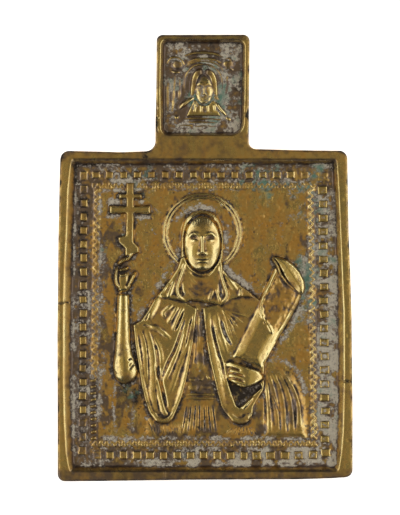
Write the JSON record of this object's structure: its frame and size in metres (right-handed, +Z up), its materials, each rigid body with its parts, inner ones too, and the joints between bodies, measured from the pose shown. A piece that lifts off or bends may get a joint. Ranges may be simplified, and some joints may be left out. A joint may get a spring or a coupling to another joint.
{
  "type": "pectoral icon",
  "caption": "Cast brass pectoral icon: a framed plate with a veiled figure holding a cross and a scroll, a small framed headpiece, and a cord lug at the back.",
  "frame": {"origin": "middle of the box round the icon, at the ground it lies on", "axes": "+X to the right as the relief is read, +Y from the plate's lower edge to the headpiece, +Z up out of the relief; the icon lies on its back, leant 3.1 degrees on its lower edge and its lug"},
  "size_m": [0.0608, 0.0921, 0.0086],
  "materials": {
    "cast_brass": "polished on the high points, tarnished in the hollows"
  },
  "bodies": {
    "root": {"cast_icon": "cast_brass"}
  },
  "joints": []
}
